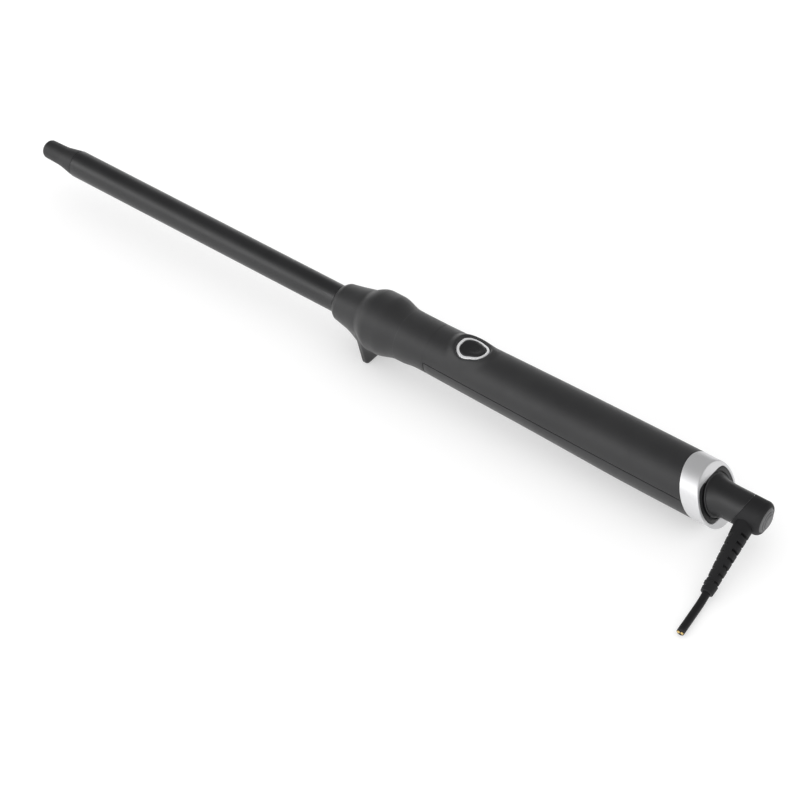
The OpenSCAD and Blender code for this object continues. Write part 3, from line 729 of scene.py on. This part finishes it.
def upper_shell():
    """The whole neck, then the top half, with a raised pad and a well for the button."""
    points, faces = [], []

    def run(x0, x1, count):
        return [shell_row(lerp(x0, x1, k / count), SEAM_Z + SEAM_GAP / 2, 1, 72) for k in range(count + 1)]

    front = LOWER_FRONT - SEAM_GAP
    patch_x0, patch_x1 = BUTTON_X - 15.0, BUTTON_X + 15.0
    add_strip(points, faces, neck_rows(front))
    add_strip(points, faces, run(front - 0.5, patch_x0, 3))
    tail = run(patch_x1, TAIL_X, 34)
    run_to_ring(tail, 10)
    add_strip(points, faces, tail)

    # beside the button only the lips and rolled edges run on, and the skin between them is the pad's
    patch = run(patch_x0, patch_x1, 30)
    add_strip(points, faces, [row[:LIP + 1] for row in patch])
    add_strip(points, faces, [row[-LIP - 1:] for row in patch])
    inner = [row[LIP:-LIP] for row in patch]
    loop = inner[0] + [row[-1] for row in inner[1:-1]]
    loop += inner[-1][::-1] + [row[0] for row in inner[-2:0:-1]]
    add_strip(points, faces, pad_rings(loop), closed=True)
    return points, faces


def screw_well(screw_x, loop):
    """Rings from the loop of points round a screw, into its round hole and down to the seat."""
    def underside(x, y):
        z = -handle_r(x)
        for _ in range(3):
            z = -math.sqrt(handle_reach(x, math.atan2(z, y)) ** 2 - y * y)
        return (x, y, z)

    turn = [math.atan2(p[1], p[0] - screw_x) for p in loop]
    rings = [loop]
    steps = 5
    edge = SCREW_HOLE + 0.25
    for k in range(1, steps + 1):
        rings.append([underside(lerp(p[0], screw_x + edge * math.cos(phi), k / steps),
                                lerp(p[1], edge * math.sin(phi), k / steps)) for p, phi in zip(loop, turn)])
    for reach, sink in ((SCREW_HOLE + 0.1, 0.04), (SCREW_HOLE + 0.02, 0.12), (SCREW_HOLE, 0.25)):
        rim = [underside(screw_x + reach * math.cos(phi), reach * math.sin(phi)) for phi in turn]
        rings.append([(x, y, z + sink) for x, y, z in rim])
    for reach, z in ((SCREW_HOLE, SCREW_SEAT), (1.55, SCREW_SEAT), (1.55, SCREW_SEAT + 3)):
        rings.append([(screw_x + reach * math.cos(phi), reach * math.sin(phi), z) for phi in turn])
    return rings


def lower_shell():
    """The lower half, with a deep round hole for each screw."""
    points, faces = [], []
    x0 = LOWER_FRONT + EDGE
    steps = 44
    skin_rows = [shell_row(lerp(x0, TAIL_X, k / steps), SEAM_Z - SEAM_GAP / 2, -1, 84)
                 for k in range(steps + 1)]

    def front_row(drop, ahead):
        row = []
        for p in skin_rows[0]:
            a, r = polar(p)
            keep = min(r, handle_reach(p[0], a) - drop)
            row.append((p[0] - ahead, keep * math.cos(a), keep * math.sin(a)))
        return row

    rows = [front_row(WALL, 0.3), front_row(0.3, 0.3), front_row(0.09, 0.21)] + skin_rows
    run_to_ring(rows, 12)
    middle = len(rows[0]) // 2
    i0, i1 = middle - 10, middle + 10
    windows = []
    for screw_x in SCREW_X:
        near = [j for j, row in enumerate(rows) if abs(row[middle][0] - screw_x) < 6.5]
        windows.append((near[0], near[-1], i0, i1))
    add_strip(points, faces, rows, holes=windows)
    for screw_x, (j0, j1, _, _) in zip(SCREW_X, windows):
        loop = rows[j0][i0:i1] + [row[i1] for row in rows[j0:j1]]
        loop += rows[j1][i1:i0:-1] + [row[i0] for row in rows[j1:j0:-1]]
        add_strip(points, faces, screw_well(screw_x, loop), closed=True)
    return points, faces


piece("upper_shell", *upper_shell(), "handle", "soft_touch", ["handle_body"], crease=40)
piece("lower_shell", *lower_shell(), "handle", "soft_touch", ["handle_base"], crease=40)


# ---------------------------------------------------------------- bezel and button

BUTTON_GROW = -BEZEL_W - 0.2
BUTTON_R = BEZEL_TOP - 0.35
BUTTON_DISH = 0.75
STEM_R, STEM_LEN = 1.6, 1.4

bezel_section = rounded(
    [(0.0, BEZEL_TOP - 1.6), (0.0, BEZEL_TOP), (-BEZEL_W, BEZEL_TOP - 0.22), (-BEZEL_W, BEZEL_TOP - 1.6)],
    [0.1, 0.42, 0.42, 0.1], steps=6, closed=True)
piece("bezel", *skin([egg_row(grow, r) for grow, r in bezel_section], ring=True), "handle", "bezel_chrome",
      ["button_bezel"], crease=60)


def button_rows(count=144):
    """The button from the foot of its stem up to its rounded edge and over its dished top."""
    rows = []
    for r, z in ((0.0, 0.0), (STEM_R - 0.1, 0.0), (STEM_R, 0.1), (STEM_R, STEM_LEN)):
        rows.append([(BUTTON_X + r * math.cos(a), r * math.sin(a), BUTTON_FOOT + z) for a in circle(count)])
    rows.append([(x, y, BUTTON_FOOT + STEM_LEN) for x, y, _ in egg_row(BUTTON_GROW, BUTTON_R)])
    for inset, drop in ((0.0, 2.0), (0.0, 0.35), (0.05, 0.18), (0.15, 0.06), (0.32, 0.0)):
        rows.append(egg_row(BUTTON_GROW - inset, BUTTON_R - drop))
    steps = 15
    for k in range(1, steps):
        t = k / steps
        row = []
        for phi in circle(count):
            reach = egg(BUTTON_GROW - 0.32, phi) * (1 - t)
            x, y = reach * math.cos(phi), reach * math.sin(phi)
            z = math.sqrt(BUTTON_R * BUTTON_R - y * y) - BUTTON_DISH * smooth(t * 1.25)
            row.append((BUTTON_X + x, y, z))
        rows.append(row)
    return rows + [[(BUTTON_X, 0.0, BUTTON_R - BUTTON_DISH)] * count]


piece("button_cap", *skin(button_rows()), "button", "button_plastic", ["power_button"], crease=40, weld=1e-5)


# ---------------------------------------------------------------- end ring

OPEN_R = 13.0
OPEN_HALF = 10.4
OPEN_CORNER = 12.0
RING_FILLET = 0.45
OPEN_FILLET = 0.3
RING_LIP = -2.6


def face_point(theta, reach, w):
    """Point at distance reach from the axis in direction theta, on the plane w along the swivel axis."""
    y, z = reach * math.cos(theta), reach * math.sin(theta)
    return (face_x(z, w), y, z)


def opening_reach(theta, grow=0.0):
    """Distance from the axis to the edge of the ring's opening: round with flats above and below."""
    flat = (OPEN_HALF + grow) * math.cos(SLANT) / max(1e-6, abs(math.sin(theta)))
    return ((OPEN_R + grow) ** -OPEN_CORNER + flat ** -OPEN_CORNER) ** (-1 / OPEN_CORNER)


def ring_rows(count=192):
    """The ring from the handle along its skin, over the end face, down the opening and back inside."""
    lines = []
    back = -RING_DEPTH + 0.1
    for theta in circle(count):
        opening = opening_reach(theta)
        profile = [(RING_R - 1.3, back), (RING_R - 0.12, back), (RING_R, back + 0.12)]
        profile += [(RING_R, w) for w in (-7.5, -6.0, -4.5, -3.0, -1.5)]
        for t in (math.pi / 2 * k / 6 for k in range(7)):
            profile.append((RING_R - RING_FILLET * (1 - math.cos(t)), -RING_FILLET * (1 - math.sin(t))))
        for k in range(1, 4):
            profile.append((lerp(RING_R - RING_FILLET, opening + OPEN_FILLET, k / 4), 0.0))
        for t in (math.pi / 2 * k / 5 for k in range(6)):
            profile.append((opening + OPEN_FILLET * (1 - math.sin(t)), -OPEN_FILLET * (1 - math.cos(t))))
        profile += [(opening, -1.4), (opening, RING_LIP), (OPEN_R - 0.01, RING_LIP), (OPEN_R, back)]
        lines.append([face_point(theta, reach, w) for reach, w in profile])
    return [list(row) for row in zip(*lines)]


piece("ring", *skin(ring_rows(), ring=True), "handle", "ring_metal", ["end_ring"], crease=45)


# ---------------------------------------------------------------- swivel seat and turning elbow

ACROSS = Vector((0, 1, 0))
RISE = SWIVEL_AXIS.cross(ACROSS).normalized()
POCKET_R, SEAT_BORE_SHARE = 10.9, 0.39
STUB_R, STUB_BORE = 8.2, 7.15
STUB_X, STUB_END = 220.6, cap_lo.x + 0.25
FLANGE_R = 10.2
FLARE_STEPS, FLARE_EASE = 22, 2.6
SPIGOT_BORE = 6.0
WIRE_R = 1.7
BOOT_X, BOOT_SLOPE, BOOT_END = 225.8, math.tan(math.radians(22)), 238.0


def swivel_rows(profile, count):
    """Rows of a body turned about the swivel axis, from (distance out from the ring's face, r) points."""
    end = Vector((END_X, 0, 0))
    return [[tuple(end + SWIVEL_AXIS * w + (ACROSS * math.cos(a) + RISE * math.sin(a)) * r)
             for a in circle(count)] for w, r in profile]


def seat_rows(count=192):
    """The fixed seat in the ring's opening, with the pocket that the elbow's flange turns in."""
    lines = []
    for theta in circle(count):
        edge = opening_reach(theta, -0.08)
        pocket = min(POCKET_R / math.hypot(math.cos(theta), math.sin(theta) / math.cos(SLANT)), edge - 0.45)
        bore = pocket * SEAT_BORE_SHARE
        profile = ((edge, RING_LIP), (edge, -0.45), (edge - 0.1, -0.25), (edge - 0.35, -0.15),
                   (pocket + 0.12, -0.15), (pocket, -0.28), (pocket, -0.9), (bore, -0.9), (bore, RING_LIP))
        lines.append([face_point(theta, reach, w) for reach, w in profile])
    return [list(row) for row in zip(*lines)]


def elbow_rows(count=160):
    """The turning elbow: a round flange in its pocket, a flare, and a stub parallel to the wand."""
    rows = swivel_rows(
        [(-0.3, 3.6), (-0.3, 9.9), (-0.18, 10.12), (0.0, FLANGE_R), (0.4, FLANGE_R), (0.55, 10.14),
         (0.62, 10.0), (0.66, 9.6), (0.72, 9.45)], count)
    start = swivel_rows([(0.9, 9.4)], count)[0]
    for t in (k / FLARE_STEPS for k in range(1, FLARE_STEPS + 1)):
        row = []
        for p in start:
            a, r = polar(p)
            # a quick drop onto the stub's radius, then straight along it
            r = lerp(r, STUB_R, 1 - (1 - t) ** FLARE_EASE)
            row.append((lerp(p[0], STUB_X, t), r * math.cos(a), r * math.sin(a)))
        rows.append(row)
    turn = [polar(p)[0] for p in rows[-1]]
    for back, r in ((-1.5, STUB_R), (-0.25, STUB_R), (-0.12, STUB_R - 0.04), (-0.05, STUB_R - 0.15),
                    (-0.05, STUB_BORE)):
        rows.append([(BOOT_X + BOOT_SLOPE * r * math.sin(a) + back, r * math.cos(a), r * math.sin(a))
                     for a in turn])
    for x, r in ((STUB_END - 0.2, STUB_BORE), (STUB_END, STUB_BORE - 0.2), (STUB_END, SPIGOT_BORE),
                 (222.0, SPIGOT_BORE), (222.0, WIRE_R)):
        rows.append([(x, r * math.cos(a), r * math.sin(a)) for a in turn])
    return rows + swivel_rows([(-0.3, WIRE_R)], count)


hub_profile = rounded(
    [(-13.2, WIRE_R), (-13.2, 3.0), (-9.1, 3.0), (-9.1, 3.3), (-8.5, 3.3), (-8.5, 4.0), (-0.35, 4.0),
     (-0.35, WIRE_R)],
    [0.0, 0.2, 0.0, 0.0, 0.0, 0.2, 0.0, 0.0], closed=True)
# the cap closes the boot's end, and its domed face has two ring grooves
cap_profile = rounded(
    [(cap_lo.x, 0.0), (cap_lo.x, 5.9), (STUB_END + 0.1, 5.9), (STUB_END + 0.1, 6.25), (BOOT_END - 0.4, 6.25),
     (BOOT_END + 0.3, 5.7), (BOOT_END + 0.62, 5.0), (BOOT_END + 0.36, 4.9), (BOOT_END + 0.36, 4.6),
     (BOOT_END + 0.8, 4.5), (cap_hi.x - 0.38, 3.85), (cap_hi.x - 0.62, 3.75), (cap_hi.x - 0.6, 3.45),
     (cap_hi.x - 0.2, 3.35), (cap_hi.x, 2.0), (cap_hi.x, 0.0)],
    [0, 0, 0, 0, 0.5, 0.5, 0.12, 0.08, 0.08, 0.12, 0.12, 0.08, 0.08, 0.12, 0.8, 0])

piece("swivel_seat", *skin(seat_rows(), ring=True), "handle", "swivel_plastic", ["swivel_bearing"], crease=40)
piece("elbow", *skin(elbow_rows(), ring=True), "cord_swivel", "swivel_plastic", ["swivel_body"], crease=42)
piece("hub", *skin(swivel_rows(hub_profile, 64), ring=True), "cord_swivel", "swivel_plastic", crease=40)
piece("end_cap", *skin(lathe(cap_profile, 144)), "cord_swivel", "cap_rubber", ["swivel_cap"],
      crease=40, weld=1e-5)


# ---------------------------------------------------------------- strain relief, boot and cord

RELIEF_X = 230.2
RELIEF_START, RELIEF_LEN = 6.4, 44.0
RELIEF_R0, RELIEF_R1 = 4.7, 3.05
COLLAR_START, COLLAR_R, COLLAR_STEP = 39.0, 3.42, 0.35
SLOT_FIRST, SLOT_PITCH, SLOT_W, SLOT_COUNT = 13.0, 4.3, 1.3, 7
SLOT_FLOOR = 2.3
# the slots reach this far round, in degrees, from a line turned a little up from the sides
SLOT_HALF, SLOT_TURN = 56, math.radians(14)
CORD_BORE = 1.95

# the cord leaves to the near side, a little down and back
# its own axes point out along the relief, then along the wand, then up
DROP = math.radians(17.5)
RAKE = math.radians(5.5)
CORD_FROM = Vector((RELIEF_X, 0, 0))
CORD_OUT = Vector((math.sin(RAKE), -math.cos(RAKE) * math.cos(DROP), -math.cos(RAKE) * math.sin(DROP)))
CORD_SIDE = Vector((math.cos(RAKE), math.sin(RAKE) * math.cos(DROP), math.sin(RAKE) * math.sin(DROP)))
CORD_UP = CORD_OUT.cross(CORD_SIDE).normalized()

BEND = math.radians(16.5)
BEND_R = 30.0
TAIL = 16.0
CABLE_R = 1.86
CABLE_INNER_R, CABLE_INNER_LEN = 1.8, 37.2


def relief_r(t):
    """Radius of the strain relief at distance t out: a taper, then a collar that narrows to its end."""
    if t > COLLAR_START:
        u = (t - COLLAR_START) / (RELIEF_LEN - COLLAR_START)
        return COLLAR_R - 0.5 * u - 0.25 * max(0.0, u - 0.96) / 0.04
    if t > COLLAR_START - COLLAR_STEP:
        return lerp(RELIEF_R1, COLLAR_R, smooth((t - COLLAR_START + COLLAR_STEP) / COLLAR_STEP))
    return lerp(RELIEF_R0, RELIEF_R1, (t - RELIEF_START) / (COLLAR_START - RELIEF_START))


def slot_share(t, a):
    """1 in the strain relief's slots, 0 between them, and a steep wall at their edges."""
    side = 1 if math.cos(a) > 0 else -1
    first = SLOT_FIRST if side > 0 else SLOT_FIRST + SLOT_PITCH / 2
    nearest = max(0, min(SLOT_COUNT - 1, round((t - first) / SLOT_PITCH)))
    off = abs(t - first - nearest * SLOT_PITCH)
    off_side = math.degrees(math.acos(max(-1.0, min(1.0, side * math.cos(a - side * SLOT_TURN)))))
    return smooth((SLOT_W / 2 + 0.06 - off) / 0.16) * smooth((SLOT_HALF - off_side) / 7)


def relief_rows(around=120, along=420):
    """Tapered sleeve with staggered slots cut into both sides."""
    def row(t, radius):
        middle = CORD_FROM + CORD_OUT * t
        return [tuple(middle + (CORD_SIDE * math.cos(a) + CORD_UP * math.sin(a)) * radius(a))
                for a in circle(around)]

    def outside(t):
        r = relief_r(t)
        return row(t, lambda a: r - (r - SLOT_FLOOR) * slot_share(t, a))

    rows = [outside(lerp(RELIEF_START, RELIEF_LEN, j / along)) for j in range(along + 1)]
    return rows + [row(t, lambda a: CORD_BORE) for t in (RELIEF_LEN, RELIEF_START)]


def boot_rows(count=160):
    """Rubber boot round the stub, with a slanted front edge and a rounded rear one."""
    def slanted(back, r):
        return [(BOOT_X + BOOT_SLOPE * r * math.sin(a) + back, r * math.cos(a), r * math.sin(a))
                for a in circle(count)]

    rows = [slanted(0, 7.2), slanted(0, STUB_R - 0.14), slanted(0.06, STUB_R - 0.03), slanted(0.2, STUB_R)]
    rows += [slanted(k * 0.8, STUB_R) for k in range(1, 5)]
    return rows + lathe(
        [(233.0, STUB_R), (235.0, STUB_R), (235.5, STUB_R), (236.0, 8.12), (236.5, 7.96), (237.0, 7.7),
         (237.4, 7.42), (237.72, 7.1), (237.93, 6.75), (BOOT_END, 6.5), (BOOT_END - 0.04, 6.38),
         (BOOT_END - 0.15, 6.32), (STUB_END + 0.05, 6.3), (STUB_END + 0.05, 7.2)], count)


def cable_rows(count=48):
    """The cable: straight through the relief, a bend upwards, and a short tail with a closed end."""
    bend = [BEND * k / 14 for k in range(15)]
    tail_out = CORD_OUT * math.cos(BEND) + CORD_UP * math.sin(BEND)
    path = [CORD_FROM + CORD_OUT * t for t in (6.5, 15, 25, 35, 43.5)]
    path += [CORD_FROM + CORD_OUT * (RELIEF_LEN + BEND_R * math.sin(b))
             + CORD_UP * (BEND_R * (1 - math.cos(b))) for b in bend]
    bend_end = path[-1]
    path += [bend_end + tail_out * (TAIL * k / 10) for k in range(1, 11)]
    rows = tube_rows(path, lambda s: CABLE_INNER_R if s < CABLE_INNER_LEN else CABLE_R, count)
    centre = bend_end + tail_out * TAIL
    cut = [[tuple(centre + (Vector(p) - centre) * size + tail_out * 0.08) for p in rows[-1]]
           for size in (0.94, 0.5, 0.0)]
    return [[tuple(path[0])] * count] + rows + cut


piece("relief", *skin(relief_rows(), ring=True), "cord_swivel", "cord_rubber", ["strain_relief"], crease=55)
piece("boot", *skin(boot_rows(), ring=True), "cord_swivel", "cord_rubber", ["strain_relief"], crease=40)
piece("cable", *skin(cable_rows()), "cord_swivel", "cord_rubber", ["cable_sheath"], crease=45, weld=1e-5)


# ---------------------------------------------------------------- floor, light and camera

# the wand leans towards its stand, so in its own frame the floor rises a little towards the cord
TILT = math.radians(0.94)
FOOT_X = (FOOT_FRONT + FOOT_REAR) / 2 + LEAN_MAX * FOOT_DROP

# brightness of the surroundings by angle about the wand, from the near horizon over the top to the far one
SKY = ((0, 1.0), (16, 1.6), (26, 2.5), (38, 2.0), (50, 1.1), (62, 0.5), (75, 0.2), (95, 0.1), (115, 0.12))
SKY_TOP = 4.0

LENS = 105.9
CAMERA_PLACE = Vector((0.54238, -0.6668, 0.74518))
AZIMUTH, ELEVATION, ROLL = math.radians(37.23), math.radians(43.38), math.radians(-0.1)


def floor_material():
    mat, nodes, links, shader, coords = material("floor")
    where = coords.outputs["Object"]
    cloud = noise(nodes, links, where, 3.0, 3.0)
    pale = mixed(nodes, links, ranged(nodes, links, cloud, 0.0, 1.0), (0.59, 0.59, 0.59), (0.61, 0.61, 0.61))
    links.new(pale, shader.inputs["Base Color"])
    links.new(ranged(nodes, links, noise(nodes, links, where, 3.0), 0.50, 0.58), shader.inputs["Roughness"])
    shader.inputs["Specular IOR Level"].default_value = 0.25
    shader.inputs["Emission Color"].default_value = (1.0, 1.0, 1.0, 1.0)
    shader.inputs["Emission Strength"].default_value = 0.45
    return mat


def lay_floor():
    """A pale floor under the stand's foot."""
    floor_up = Vector((-math.sin(TILT), 0, math.cos(TILT)))
    spin = Vector((0, 0, 1)).rotation_difference(floor_up).to_matrix().to_4x4()
    bpy.ops.mesh.primitive_plane_add(size=8.0)
    floor = bpy.context.object
    floor.name = "floor"
    floor.matrix_world = Matrix.Translation(Vector((FOOT_X, 0, -FOOT_DROP)) * MM) @ spin
    floor.data.materials.append(floor_material())


def add_card(name, place, target, size, size_y, power):
    """A softbox that only shows in reflections."""
    data = bpy.data.lights.new(name, "AREA")
    data.shape = "RECTANGLE"
    data.size = size
    data.size_y = size_y
    data.energy = power
    obj = bpy.data.objects.new(name, data)
    bpy.context.scene.collection.objects.link(obj)
    obj.location = place
    obj.rotation_euler = (Vector(target) - Vector(place)).to_track_quat("-Z", "Y").to_euler()
    obj.visible_camera = False
    obj.visible_diffuse = False


def studio_world():
    """White surroundings. Reflections see softboxes: bright low at the near side, dim overhead."""
    world = bpy.data.worlds.new("studio")
    bpy.context.scene.world = world
    world.use_nodes = True
    nodes, links = world.node_tree.nodes, world.node_tree.links
    plain = nodes["Background"]
    plain.inputs["Color"].default_value = (1.0, 1.0, 1.0, 1.0)
    plain.inputs["Strength"].default_value = 1.06
    coords = nodes.new("ShaderNodeTexCoord")
    split = nodes.new("ShaderNodeSeparateXYZ")
    links.new(coords.outputs["Generated"], split.inputs[0])
    near = math_node(nodes, links, "MULTIPLY", split.outputs["Y"], -1.0)
    around = math_node(nodes, links, "ARCTAN2", split.outputs["Z"], near)
    ramp = nodes.new("ShaderNodeValToRGB")
    ramp.color_ramp.interpolation = "EASE"
    links.new(math_node(nodes, links, "DIVIDE", around, math.pi), ramp.inputs["Fac"])
    spots = ramp.color_ramp.elements
    while len(spots) > 1:
        spots.remove(spots[0])
    for angle, level in SKY:
        spot = spots[0] if angle == 0 else spots.new(angle / 180)
        spot.position = angle / 180
        spot.color = (level / SKY_TOP, level / SKY_TOP, level / SKY_TOP, 1.0)
    shaped = nodes.new("ShaderNodeBackground")
    links.new(ramp.outputs["Color"], shaped.inputs["Color"])
    shaped.inputs["Strength"].default_value = SKY_TOP
    rays = nodes.new("ShaderNodeLightPath")
    mix = nodes.new("ShaderNodeMixShader")
    links.new(rays.outputs["Is Glossy Ray"], mix.inputs["Fac"])
    links.new(plain.outputs[0], mix.inputs[1])
    links.new(shaped.outputs[0], mix.inputs[2])
    links.new(mix.outputs[0], nodes["World Output"].inputs["Surface"])


def add_camera():
    """The camera stands to the right of the wand's near side and looks down on it."""
    data = bpy.data.cameras.new("camera")
    data.sensor_width = 36.0
    data.lens = LENS
    data.clip_start = 0.05
    data.clip_end = 50.0
    camera = bpy.data.objects.new("camera", data)
    bpy.context.scene.collection.objects.link(camera)
    back = Vector((math.sin(AZIMUTH) * math.cos(ELEVATION), -math.cos(AZIMUTH) * math.cos(ELEVATION),
                   math.sin(ELEVATION)))
    level = Vector((math.cos(AZIMUTH), math.sin(AZIMUTH), 0))
    upright = back.cross(level)
    right = level * math.cos(ROLL) + upright * math.sin(ROLL)
    up = upright * math.cos(ROLL) - level * math.sin(ROLL)
    # these directions are measured from the floor, which is tilted in the wand's frame
    untilt = Matrix.Rotation(TILT, 3, "Y").transposed()
    turn = Matrix([untilt @ right, untilt @ up, untilt @ back]).transposed()
    camera.matrix_world = Matrix.Translation(untilt @ CAMERA_PLACE) @ turn.to_4x4()
    bpy.context.scene.camera = camera


lay_floor()
add_card("rim_card", (-0.42, 0.5, 0.12), (-0.1, 0.0, 0.0), 0.5, 0.3, 0.32)
studio_world()
add_camera()

view = bpy.context.scene.view_settings
view.view_transform = "Standard"
view.look = "None"
view.exposure = 0.0
